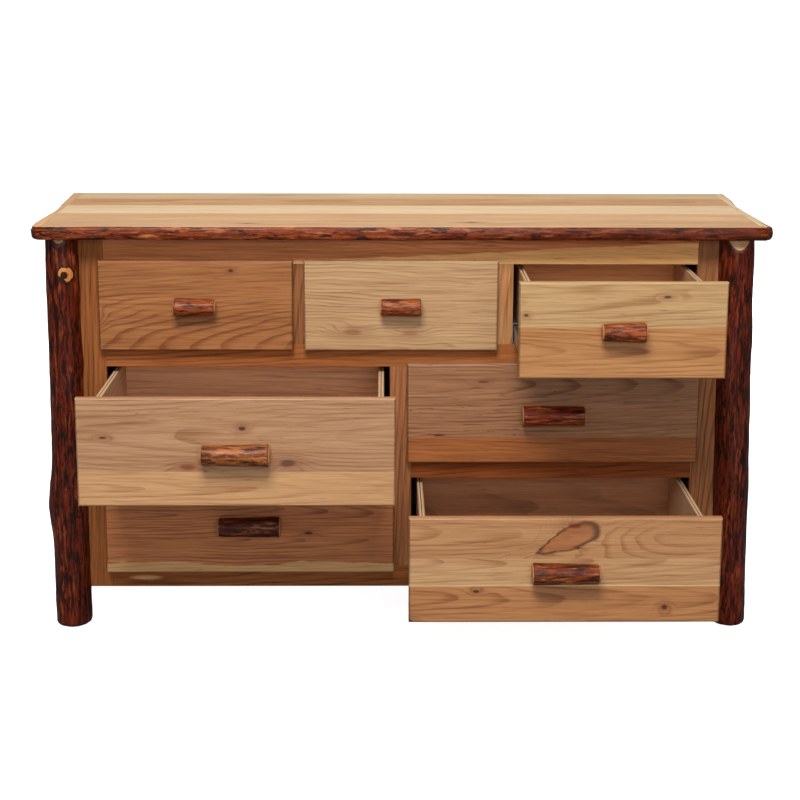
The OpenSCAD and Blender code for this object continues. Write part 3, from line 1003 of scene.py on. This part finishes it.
@dataclass
class Drawer:
    """A drawer: its front, its log pull, its plywood box and the screws of its pull."""

    name: str
    strips: tuple[Strip, ...]
    pull_seed: int
    pull_swell: float = 0.0
    pull_tone: str = "9c4a1c"
    # Tone of the box's front and back boards, set per drawer as painted light and shade: lighter in lit
    # open drawers, darker where the inside lies in shade.
    inside: str = "c9a380"

    @property
    def body(self) -> str:
        """The drawer's CAD body."""
        return self.name + "_drawer"

    def front(self) -> bpy.types.Object:
        """The overlay front, with eased edges and one finish for each glued board."""
        low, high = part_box(self.name + "_front")
        obj = add_box(self.name + "_panel", low, high)
        for ahead, offset, segments in ((True, FRONT_ROUND, 5), (False, BACK_ROUND, 2)):
            edit(obj, "EDGE",
                 lambda corners: all(c.y < low.y + MM if ahead else c.y > high.y - MM for c in corners),
                 (bpy.ops.mesh.bevel, {"offset": offset, "segments": segments, "affect": "EDGES"}))
        joints = [s.low_z for s in self.strips[1:]]
        for z in joints:
            cut(obj, Vector((0, 0, z)), Vector((0, 0, 1)))
        smooth(obj)
        woods = [replace(s.wood, face=low.y) for s in self.strips]
        # Every edge face but the upward ones is darker: the end grain's own colour at the left and right
        # ends, and painted shade on the rounded and lower edges.
        edges = [replace(w, name=w.name + "_edge", gain=w.gain * 0.68) for w in woods]
        paint(obj, [w.build() for w in woods + edges],
              lambda f: sum(f.center.z > z for z in joints)
              + (len(woods) if abs(f.normal.y) < 0.96 and f.normal.z < 0.5 else 0))
        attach(obj, self.body)
        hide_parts(self.name + "_front")
        return obj

    def pull(self, bark: bpy.types.Material, pale: EndWood,
             steel: bpy.types.Material) -> bpy.types.Object:
        """The pull, a short length of bark log with eased pale ends and a flat back.

        Args:
            bark: its bark.
            pale: its end wood.
            steel: its screws.

        Returns:
            The pull.
        """
        low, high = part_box(self.name + "_pull")
        face_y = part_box(self.name + "_front")[0].y
        radius = (high.z - low.z) / 2 - 0.0006
        axis_y = low.y + radius + 0.0006
        length = high.x - low.x
        middle = Vector(((low.x + high.x) / 2, axis_y, (low.z + high.z) / 2))
        obj = add_tube(self.name + "_log_pull", 72, 64)
        seed = Vector((self.pull_seed * 2.9, self.pull_seed * 4.3, self.pull_seed))

        def shape(angle: float, share: float) -> Vector:
            s = ends_dense(share)
            x = (s - 0.5) * length
            around = Vector((math.cos(angle) * radius, math.sin(angle) * radius, x))
            r = radius + 0.0007 * relief(around + seed, 14.0, 46.0, 2)
            r += 0.00045 * relief(around + seed * 2, 40.0, 260.0, 3)
            r += self.pull_swell * (s - 0.5)
            ends = min(s, 1 - s) * length
            r -= 0.0036 * max(0.0, 1 - ends / 0.0042) ** 0.8
            return middle + Vector((x, -math.cos(angle) * r, math.sin(angle) * r))

        reshape(obj, shape)
        cut(obj, Vector((0, face_y - 0.0001, 0)), Vector((0, 1, 0)), open_up=True)
        face_outwards(obj)
        smooth(obj, 38, False)
        half = length / 2

        def choose(face: bpy.types.MeshPolygon) -> int:
            gap = half - abs(face.center.x - middle.x)
            return int(gap < 0.0030 or face.normal.y > 0.9)

        wood = replace(pale, name=self.name + "_pull_end", axis=(middle.y, middle.z), radius=radius)
        paint(obj, [bark, wood.build()], choose)
        heads = [self.screw(x, middle.z, high.y, steel)
                 for x in (middle.x - 0.27 * length, middle.x + 0.27 * length)]
        obj = join(self.name + "_log_pull", [obj, *heads])
        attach(obj, self.body)
        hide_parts(self.name + "_pull")
        return obj

    def screw(self, x: float, z: float, y: float, steel: bpy.types.Material) -> bpy.types.Object:
        """A pan-head screw, its head inside the drawer and its shank towards the pull."""
        head_r, head_t, shank_r, shank = 0.0045, 0.002, 0.0019, 0.030
        recess_r, recess = 0.0017, 0.0012
        seam = y - 0.75 * head_t
        deselect()
        bpy.ops.mesh.primitive_cylinder_add(vertices=24, radius=head_r, depth=head_t,
                                            location=(x, y - head_t / 2, z),
                                            rotation=(math.pi / 2, 0, 0))
        obj = bpy.context.object
        apply_place(obj)
        for ahead, radius, reach in ((False, recess_r, recess), (True, shank_r, shank)):
            edit(obj, "FACE",
                 lambda corners: len(corners) > 4 and all((c.y < seam) == ahead for c in corners),
                 (bpy.ops.mesh.inset, {"thickness": head_r - radius}),
                 (bpy.ops.mesh.extrude_region_move, {
                     "TRANSFORM_OT_translate": {"value": (0, -reach, 0)}}))
        ease(obj, 0.0003, 1)
        smooth(obj)
        paint(obj, [steel])
        return obj

    def sheet(self, low: Vector, high: Vector, axis: int, skins: list[bpy.types.Material]
              ) -> list[bpy.types.Object]:
        """A plywood board of thin veneers.

        Args:
            low: its lowest corner.
            high: its highest corner.
            axis: the axis it is thin along.
            skins: finish of the faces, of the dark cores and of the pale cores.

        Returns:
            Its veneers.
        """
        parts = []
        step = (high[axis] - low[axis]) / VENEERS
        for k in range(VENEERS):
            a, b = low.copy(), high.copy()
            a[axis] = low[axis] + step * k
            b[axis] = low[axis] + step * (k + 1)
            veneer = add_box("veneer", a, b)
            outer = k in (0, VENEERS - 1)
            paint(veneer, [skins[0] if outer else skins[1 + k % 2]])
            parts.append(veneer)
        return parts

    def box(self, sides: list[bpy.types.Material], ends: list[bpy.types.Material],
            base: bpy.types.Material) -> bpy.types.Object:
        """The plywood box.

        Args:
            sides: finishes of the side boards' faces, dark cores and pale cores.
            ends: the same for the front and back boards.
            base: finish of the bottom.

        Returns:
            The box.
        """
        low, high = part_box(self.name + "_box")
        gap = 0.1 * MM
        parts = []
        for a, b in ((low.x, low.x + PLY), (high.x - PLY, high.x)):
            parts += self.sheet(Vector((a, low.y, low.z)), Vector((b, high.y, high.z)), 0, sides)
        for a, b in ((low.y, low.y + PLY), (high.y - PLY, high.y)):
            parts += self.sheet(Vector((low.x + PLY + gap, a, low.z)),
                                Vector((high.x - PLY - gap, b, high.z)), 1, ends)
        bottom = add_box("bottom", Vector((low.x + PLY, low.y + PLY, low.z + BOX_FLOOR[0])),
                         Vector((high.x - PLY, high.y - PLY, low.z + BOX_FLOOR[1])))
        paint(bottom, [base])
        obj = join(self.name + "_ply_box", parts + [bottom])
        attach(obj, self.body)
        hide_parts(self.name + "_box")
        return obj


@dataclass
class Case:
    """The face frame and panels."""

    planks_a_side: int = 4

    def frame_board(self, node: str, woods: list[bpy.types.Material]) -> bpy.types.Object:
        """A rail or stile, or a pair of them, with eased edges.

        Args:
            node: its CAD node.
            woods: one finish, or one for what is left of the middle and one for the right.

        Returns:
            The board.
        """
        obj = copy_of(node, node + "_wood")
        ease(obj, 0.0007, 2)
        smooth(obj)
        paint(obj, woods, lambda f: int(len(woods) > 1 and f.center.x > 0))
        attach(obj, "case")
        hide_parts(node)
        return obj

    def side_panel(self, node: str, woods: list[bpy.types.Material]) -> bpy.types.Object:
        """A side panel of upright boards with grooves between them."""
        low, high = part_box(node)
        step = (high.y - low.y) / self.planks_a_side
        parts = []
        for k in range(self.planks_a_side):
            board = add_box("board", Vector((low.x, low.y + step * k, low.z)),
                            Vector((high.x, low.y + step * (k + 1), high.z)))
            ease(board, 0.0022, 2)
            paint(board, [woods[k % len(woods)]])
            parts.append(board)
        obj = join(node + "_boards", parts)
        smooth(obj)
        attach(obj, "case")
        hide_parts(node)
        return obj

    def back_panel(self, wood: bpy.types.Material) -> bpy.types.Object:
        """The plywood back."""
        obj = copy_of("back_panel", "back_panel_sheet")
        ease(obj, 0.0006, 2)
        smooth(obj)
        paint(obj, [wood])
        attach(obj, "case")
        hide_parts("back_panel")
        return obj


# Finishes of this dresser

DRAWERS = (
    Drawer("top_left", (
        Strip(0.630, Wood("tl_front", Grain.ACROSS, "b27644", "7b4523", "975e32", 11, centre=0.63,
                          pith=0.035, tilt=-0.14, ring=0.009, figure=0.6, dashes=0.3, knots=(
                              Knot(-0.367, 0.807, 0.0045),
                              Knot(-0.664, 0.700, 0.011, "6a2812", 1.0, 0.7)))),
    ), 5, -0.004),
    Drawer("top_middle", (
        Strip(0.630, Wood("tm_front", Grain.ACROSS, "c9a376", "9a6e46", "b58e66", 12, centre=0.60,
                          pith=0.05, tilt=0.03, dashes=0.4, knots=(
                              Knot(-0.105, 0.672, 0.008, "7c4a2c", 3.0, 0.6),
                              Knot(0.020, 0.670, 0.007, "7c4a2c", 3.0, 0.5)))),
    ), 6),
    Drawer("top_right", (
        Strip(0.630, Wood("tr_front_low", Grain.ACROSS, "c18a57", "915c30", "ad7343", 13, centre=0.69,
                          pith=0.02, tilt=0.04, dashes=0.4)),
        Strip(0.735, Wood("tr_front_high", Grain.ACROSS, "c8a373", "9b7246", "b68d5c", 14, centre=0.80,
                          pith=0.05, tilt=0.03, knots=(
                              Knot(0.248, 0.762, 0.0035), Knot(0.531, 0.799, 0.0032, stretch=3.0)))),
    ), 7, 0.003, inside="e9a671"),
    Drawer("middle_left", (
        Strip(0.376, Wood("ml_front_low", Grain.ACROSS, "d3a473", "a16f48", "bf8e5f", 15, centre=0.41,
                          pith=0.03, tilt=0.03, figure=0.45)),
        Strip(0.449, Wood("ml_front_high", Grain.ACROSS, "c0946e", "90613f", "ac7f5a", 16, centre=0.53,
                          pith=0.03, tilt=-0.05, ring=0.008, dashes=0.7, knots=(
                              Knot(-0.321, 0.540, 0.0055),
                              Knot(-0.431, 0.460, 0.008, "7a3c1c", 2.4, 0.8),
                              Knot(-0.230, 0.466, 0.009, "44302a", 2.2, 0.85),
                              Knot(-0.600, 0.520, 0.003, stretch=3.0)))),
    ), 8, 0.003, "a05a2a", "eab38b"),
    Drawer("middle_right", (
        Strip(0.376, Wood("mr_front_low", Grain.ACROSS, "b26c37", "6f3b1e", "935027", 17, centre=0.36,
                          pith=0.03, tilt=0.04)),
        Strip(0.434, Wood("mr_front_high", Grain.ACROSS, "af7c56", "70462b", "936240", 18, centre=0.55,
                          pith=0.012, tilt=0.07, ring=0.008, dashes=0.9, knots=(
                              Knot(0.084, 0.440, 0.0022, "1a0c08", 7.0, 0.95),
                              Knot(0.180, 0.560, 0.0030, "4a2814", 5.0, 0.8)))),
    ), 9, -0.002, "8e2c0c"),
    Drawer("bottom_left", (
        Strip(0.122, Wood("bl_front_low", Grain.ACROSS, "ce8552", "864a28", "ac693e", 19, centre=0.20,
                          pith=0.03, sap="dcab74", sap_edge=0.1435,
                          sap_wave=0.030)),
        Strip(0.201, Wood("bl_front_mid", Grain.ACROSS, "ce8450", "8a4b28", "ad683d", 20, centre=0.26,
                          pith=0.03, knots=(Knot(-0.204, 0.214, 0.0045, stretch=2.6),))),
        Strip(0.278, Wood("bl_front_high", Grain.ACROSS, "d88b56", "8e4f2b", "b67044", 21, centre=0.36,
                          pith=0.04)),
    ), 10, 0.002, "4e1c10"),
    Drawer("bottom_right", (
        Strip(0.122, Wood("br_front_low", Grain.ACROSS, "c28856", "8c5631", "aa7244", 22, centre=0.17,
                          pith=0.03, knots=(
                              Knot(0.152, 0.190, 0.004, stretch=2.0),
                              Knot(0.014, 0.124, 0.007, "34120a", 1.5, 0.85),
                              Knot(0.540, 0.155, 0.006, stretch=1.3)))),
        Strip(0.201, Wood("br_front_mid", Grain.ACROSS, "cca172", "9a6a45", "ba895d", 23, centre=0.26,
                          pith=0.02, sap="dcbc88", sap_edge=0.2045, sap_wave=0.003)),
        Strip(0.261, Wood("br_front_high", Grain.ACROSS, "c29162", "94603b", "ae7a50", 24, centre=0.31,
                          pith=0.02, ring=0.008, knots=(
                              Knot(0.337, 0.300, 0.028, "a05a32", 2.4, 0.6, turn=24, outline=0.8),
                              Knot(0.352, 0.331, 0.007, "6a1f10", 2.2, 0.85)))),
    ), 11, -0.003, "84380f", "b9835f"),
)

TOP_WOODS = (
    Wood("plank_front", Grain.FLAT, "dcb386", "aa7c50", "c7996f", 31, centre=0.02, pith=-0.85,
         tilt=0.02, dashes=0.6, knots=(Knot(-0.33, -0.080, 0.004, "5a3018", 3.0),
                                       Knot(0.152, -0.060, 0.006, "4a2414", 2.6))),
    Wood("plank_pink", Grain.FLAT, "e6bc8e", "b48156", "d09f72", 32, centre=0.09, pith=-0.87, tilt=-0.02,
         figure=0.55, dashes=0.4),
    Wood("plank_cream", Grain.FLAT, "f1d7ac", "c69d6f", "e1bd8e", 33, centre=0.0, pith=-0.85, tilt=0.01,
         figure=0.45, dashes=0.2),
    Wood("plank_orange", Grain.FLAT, "e3b380", "a77043", "c99563", 34, centre=0.27, pith=-0.87,
         tilt=0.02, figure=0.65, dashes=0.3),
    Wood("plank_rear", Grain.FLAT, "e2c79c", "b48a5c", "d2ae80", 35, centre=0.5, pith=-0.86,
         dashes=0.4, knots=(Knot(-0.30, 0.38, 0.006, "8a5a34", 9.0, 0.6),
                            Knot(0.30, 0.375, 0.005, "8a5a34", 9.0, 0.5))),
)


FRAME_STAINS_AND_SHADES = {
    # deep: painted shade, the rails' stain darkened for the shade under the drawer front above the right
    # middle rail.
    "deep": ("944e23", "562810", "763c19"),
    "middle": ("a66c45", "693d21", "895632"),
    # bright: a lighter stain, made lighter still as painted light that lifts the shade under the top's
    # overhang.
    "bright": ("bc784c", "7b4825", "9d6038"),
    "warm": ("a46335", "673618", "874d27"),
    "pale": ("ce9667", "956031", "b27c4e"),
}


FRAME_BOARDS = {
    "left_stile": [("stile_l", Grain.UPRIGHT, 71, -0.6, "warm")],
    "right_stile": [("stile_r", Grain.UPRIGHT, 72, 0.72, "middle")],
    "centre_stile": [("stile_c", Grain.UPRIGHT, 73, 0.05, "middle")],
    "top_dividers": [("divider_l", Grain.UPRIGHT, 74, -0.19, "middle"),
                     ("divider_r", Grain.UPRIGHT, 75, 0.26, "pale")],
    "top_rail": [("rail_top", Grain.ACROSS, 76, 0.80, "bright")],
    "upper_rail": [("rail_upper", Grain.ACROSS, 77, 0.64, "warm")],
    "middle_rails": [("rail_mid_l", Grain.ACROSS, 78, 0.33, "warm"),
                     # The right middle rail takes the deep tone, painted shade.
                     ("rail_mid_r", Grain.ACROSS, 79, 0.39, "deep")],
    "bottom_rail": [("rail_low", Grain.ACROSS, 80, 0.13, "warm")],
}
FRAME_EXTRAS = {
    "stile_c": {"gain": 1.18},
    # The top rail's gain is painted light as well; its pale sapwood strip is the wood's own.
    "rail_top": {"gain": 1.36, "sap": "ecb674", "sap_edge": 0.8345, "sap_slope": 0.05,
                 "sap_wave": 0.012},
    "rail_upper": {"gain": 1.2},
    "rail_low": {"knots": (Knot(-0.570, 0.103, 0.006, "d0a068", 7.0, 0.9),)},
}


def frame_wood(name: str, grain: Grain, seed: int, centre: float, stain_and_shade: str,
               **extra: float | str) -> Wood:
    """A finish in one of the face frame's tones, duller than the drawer fronts: stains, one darkened as
    painted shade and one lightened as painted light.
    """
    light, dark, blotch = FRAME_STAINS_AND_SHADES[stain_and_shade]
    return Wood(name, grain, light, dark, blotch, seed, centre=centre, gloss=0.35, **extra)


# Light, floor and camera


@dataclass(frozen=True)
class Lamp:
    """A soft rectangular light: where it is, its size, its power and where it points."""

    name: str
    place: tuple[float, float, float]
    size: tuple[float, float]
    power: float
    aim: tuple[float, float, float] = (0, 0, 0.5)
    glossy: bool = True


LAMPS = (
    Lamp("key", (-0.4, -2.9, 4.1), (1.9, 1.2), 190),
    Lamp("front", (0.5, -5.0, 1.9), (2.6, 1.8), 62),
    Lamp("overhead", (0.1, 0.2, 3.0), (2.4, 1.2), 10, (0, 0.1, 0.9)),
    Lamp("rear", (0.8, 4.4, 0.9), (2.6, 1.4), 70, glossy=False),
)
WORLD_LIGHT = 0.26


@dataclass
class Studio:
    """The floor, the soft lights and the camera."""

    lens: float = 70.3
    shift: float = -0.15
    eye: tuple[float, float, float] = (-0.0399, -3.3101, 1.4088)
    pitch: float = 10.642
    yaw: float = 0.646
    roll: float = 0.178

    def floor(self) -> bpy.types.Object:
        """A pale floor."""
        deselect()
        bpy.ops.mesh.primitive_plane_add(size=400, location=(0, 0, -0.0005))
        obj = bpy.context.object
        obj.name = "studio_floor"
        g = Graph(bpy.data.materials.new("studio_floor"))
        speck = g.noise(g.place("XYZ", (0.0, 0.0, 0.0)), (3.0, 3.0, 3.0), 2.0)
        seen = g.node("ShaderNodeLightPath")
        pale = g.mix(speck, srgb("fbfbfb"), srgb("ffffff"))
        tone = g.mix(seen, srgb("8a8a8a"), pale)
        shader = g.node("ShaderNodeBsdfPrincipled", {}, {
            "Base Color": tone, "Roughness": 0.9, "Emission Strength": 0.9,
            "Emission Color": g.mix(seen, (0.0, 0.0, 0.0), pale), "Specular IOR Level": 0.0})
        g.node("ShaderNodeOutputMaterial", {}, {"Surface": shader})
        paint(obj, [g.owner])
        return obj

    def lamp(self, lamp: Lamp) -> None:
        """An area light that points at a spot."""
        deselect()
        bpy.ops.object.light_add(type="AREA", location=lamp.place)
        obj = bpy.context.object
        obj.name = lamp.name
        obj.data.shape = "RECTANGLE"
        obj.data.size, obj.data.size_y = lamp.size
        obj.data.energy = lamp.power
        obj.visible_glossy = lamp.glossy
        way = Vector(lamp.aim) - Vector(lamp.place)
        obj.rotation_euler = way.to_track_quat("-Z", "Y").to_euler()

    def world(self, strength: float) -> None:
        """An even pale sky, white where the camera sees it."""
        world = bpy.data.worlds.new("studio")
        bpy.context.scene.world = world
        g = Graph(world)
        seen = g.node("ShaderNodeLightPath")
        level = g.node("ShaderNodeMapRange", {}, {"Value": seen, "To Min": strength, "To Max": 1.0})
        back = g.node("ShaderNodeBackground", {}, {"Color": (1, 1, 1, 1), "Strength": level})
        g.node("ShaderNodeOutputWorld", {}, {"Surface": back})

    def camera(self) -> None:
        """The camera, seeing the dresser as from a standing height."""
        face_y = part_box("top_left_front")[0].y
        data = bpy.data.cameras.new("camera")
        obj = bpy.data.objects.new("camera", data)
        bpy.context.scene.collection.objects.link(obj)
        data.lens = self.lens
        data.sensor_width = 36
        data.shift_y = self.shift
        data.dof.use_dof = False
        data.clip_end = 1000
        turn = (Matrix.Rotation(math.radians(-self.yaw), 4, "Z")
                @ Matrix.Rotation(math.radians(90 - self.pitch), 4, "X")
                @ Matrix.Rotation(math.radians(self.roll), 4, "Z"))
        place = Matrix.Translation(Vector((self.eye[0], face_y + self.eye[1], self.eye[2])))
        obj.matrix_world = place @ turn
        bpy.context.scene.camera = obj

    def build(self) -> None:
        """Everything but the dresser."""
        self.floor()
        self.world(WORLD_LIGHT)
        for lamp in LAMPS:
            self.lamp(lamp)
        self.camera()
        bpy.context.scene.view_settings.view_transform = "Standard"


# The whole scene


def build_posts() -> None:
    """The four log posts."""
    pale = EndWood("post_cut", "c99a66", "9a6438", 41)
    posts = (
        Post("front_left_post", 1, 0.0390, 0.0343, -0.0030, -0.0015, facet=0.034, facet_h=0.018,
             lumps=(Lump(0.280, 180, 0.060, 0.009), Lump(0.60, 340, 0.03, 0.003),
                    Lump(0.800, 284, 0.020, 0.0025)), glow=0.55),
        Post("front_right_post", 2, 0.0378, 0.0372, 0.0105, -0.0045, facet=0.052, facet_h=0.028,
             lumps=(Lump(0.66, 10, 0.04, 0.002), Lump(0.30, 350, 0.05, 0.002))),
        Post("rear_left_post", 3, 0.0370, 0.0365, lumps=(Lump(0.5, 200, 0.04, 0.004),)),
        Post("rear_right_post", 4, 0.0370, 0.0365, lumps=(Lump(0.35, 20, 0.04, 0.004),)),
    )
    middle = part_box("front_left_post")[0].y + posts[0].foot_r
    scars = {"front_left_post": (Scar(0.800, -0.7205, middle, 0.0145),)}
    for post in posts:
        bark = Bark(post.node + "_bark", Grain.UPRIGHT, 50 + post.seed, scale=1.3,
                    fleck_and_highlight_share=post.glow, scars=scars.get(post.node, ())).build()
        obj = post.build(bark, pale)
        LOG.info("post %s: %d faces", obj.name, len(obj.data.polygons))


def build_top() -> None:
    """The plank top and its live edge."""
    top = Top()
    obj = top.planks([wood.build() for wood in TOP_WOODS])
    LOG.info("top planks: %d faces", len(obj.data.polygons))
    tones = {"deep_colour": "481504", "body_colour": "8a3814", "fleck_and_highlight_colour": "bf7440",
             "painted_sheen_colour": "8c5a40", "dark_share": 0.92, "fleck_and_highlight_share": 0.9, "scale": 1.5}
    # The ends get less painted highlight than the front.
    ends = {**tones, "body_colour": "742c10", "fleck_and_highlight_share": 0.4}
    barks = [Bark("edge_bark_left", Grain.DEEP, 60, **ends).build(),
             Bark("edge_bark_front", Grain.FLAT, 61, deepen=(-0.1, 0.6), **tones).build(),
             Bark("edge_bark_right", Grain.DEEP, 62, **ends).build()]
    pales = [Wood(f"edge_wood_{k}", grain, light, "b08258", blotch, 64 + k, centre=0.9, pith=0.3,
                  tilt=0.01, figure=0.4).build()
             for k, (grain, light, blotch) in enumerate((
                 (Grain.DEEP, "eabb88", "d8a470"), (Grain.FLAT, "d6ae82", "c29468"),
                 (Grain.DEEP, "f2d3a8", "e0bc8c")))]
    obj = top.edge(barks, pales)
    LOG.info("live edge: %d faces", len(obj.data.polygons))


def build_case() -> None:
    """The face frame and the panels."""
    case = Case()
    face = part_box("left_stile")[0].y
    for node, rows in FRAME_BOARDS.items():
        woods = [frame_wood(*row, **FRAME_EXTRAS.get(row[0], {}), face=face).build() for row in rows]
        obj = case.frame_board(node, woods)
        LOG.info("frame board %s: %d faces", obj.name, len(obj.data.polygons))
    for side, seed in (("left", 82), ("right", 86)):
        woods = [Wood(f"side_{side}_{k}", Grain.SIDE_UPRIGHT, "a8744a", "6f4426", "8f5d38", seed + k,
                      centre=0.08 * k - 0.05, pith=0.05).build() for k in range(4)]
        obj = case.side_panel(side + "_side_panel", woods)
        LOG.info("side panel %s: %d faces", obj.name, len(obj.data.polygons))
    back = Wood("back_ply", Grain.UPRIGHT, "b98a5e", "8a5d38", "a87848", 90, centre=0.1, pith=0.4,
                ring=0.02, figure=0.35).build()
    case.back_panel(back)


def finish_inner_parts() -> None:
    """Finishes of the CAD nodes that stay in view: inner boards, runners and slides."""
    inner = Wood("inner_boards", Grain.DEEP, "c09468", "8f6440", "ad8056", 91, centre=0.3, pith=0.3,
                 figure=0.4).build()
    zinc = Steel("slide_zinc").build()
    black = Steel("screw_black", "3a3a3c", 4).build()
    for node in ("partitions", "dust_panels", "slide_cleats", "top_cleats"):
        paint(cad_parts[node], [inner])
    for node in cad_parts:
        if node.endswith(("_runners", "_mid_slides")) or node == "case_slides":
            paint(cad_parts[node], [zinc])
    paint(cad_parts["top_screws"], [black])


def build_drawers() -> None:
    """The seven drawers."""
    faces = {"side": Grain.DEEP, "end": Grain.ACROSS}
    skins = {}
    for k, (place, grain) in enumerate(faces.items()):
        skins[place] = [
            Wood(f"ply_face_{place}", grain, "c9a380", "a07a58", "b98f6a", 100 + k, centre=0.2, pith=0.2,
                 ring=0.012, figure=0.3).build(),
            Wood(f"ply_dark_{place}", grain, "8a6040", "5c3a22", "74492c", 103 + k, figure=0.4).build(),
            Wood(f"ply_pale_{place}", grain, "dcc09a", "b8966c", "ccab80", 106 + k, figure=0.3).build()]
    base = Wood("ply_base", Grain.FLAT, "c39c78", "9a7350", "b48a64", 110, centre=0.2, pith=0.2,
                figure=0.3).build()
    pale = EndWood("pull_end", "b8804c", "7c4a28", 42, Grain.FLAT, rim=0.0002)
    steel = Steel("pull_screw").build()
    for k, drawer in enumerate(DRAWERS):
        bark = Bark(drawer.name + "_pull_bark", Grain.ACROSS, 120 + k, deep_colour="3c1006",
                    body_colour=drawer.pull_tone, fleck_and_highlight_colour="c47a44", scale=1.4,
                    dark_share=0.7, fleck_and_highlight_share=0.75).build()
        # The same plywood, lighter or darker per drawer as painted light and shade.
        lining = Wood(drawer.name + "_ply_lining", Grain.ACROSS, drawer.inside,
                      shaded(drawer.inside, 0.6), shaded(drawer.inside, 0.82), 130 + k,
                      centre=0.2, pith=0.2, ring=0.012, figure=0.3, gloss=0.4)
        ends = [lining.build(), *skins["end"][1:]]
        made = (drawer.front(), drawer.box(skins["side"], ends, base),
                drawer.pull(bark, pale, steel))
        LOG.info("drawer %s: %s faces", drawer.name, [len(o.data.polygons) for o in made])


def main() -> None:
    """Builds the dresser and its studio."""
    logging.basicConfig(level=logging.INFO, format="%(message)s")
    build_posts()
    build_top()
    build_case()
    build_drawers()
    finish_inner_parts()
    Studio().build()
    deselect()


if __name__ == "__main__":
    main()
